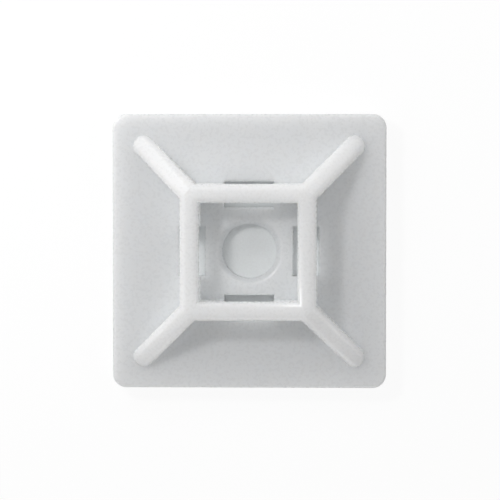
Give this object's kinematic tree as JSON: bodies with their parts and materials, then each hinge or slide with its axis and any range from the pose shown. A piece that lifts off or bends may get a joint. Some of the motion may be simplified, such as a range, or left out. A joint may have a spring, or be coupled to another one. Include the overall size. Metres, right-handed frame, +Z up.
{
  "type": "cable tie mount",
  "caption": "Square self-adhesive cable tie mount: a raised square frame on sloping corner ribs, with strap slots under its rails and a countersunk screw hole.",
  "frame": {"origin": "centre of the release liner's lower face, which the mount rests on", "axes": "+Z up, out of the face that is stuck down; +X and +Y along the sides of the square base, each along one pair of opposite strap slots"},
  "size_m": [0.028, 0.028, 0.0067],
  "materials": {
    "nylon": "natural, milky translucent nylon with a soft satin gloss",
    "foam": "white closed-cell foam tape with a wrinkled, faintly bubbly adhesive face",
    "liner": "smooth silicone-coated release paper"
  },
  "bodies": {
    "root": {"mount_body": "nylon", "foam_tape": "foam", "release_liner": "liner"}
  },
  "joints": []
}
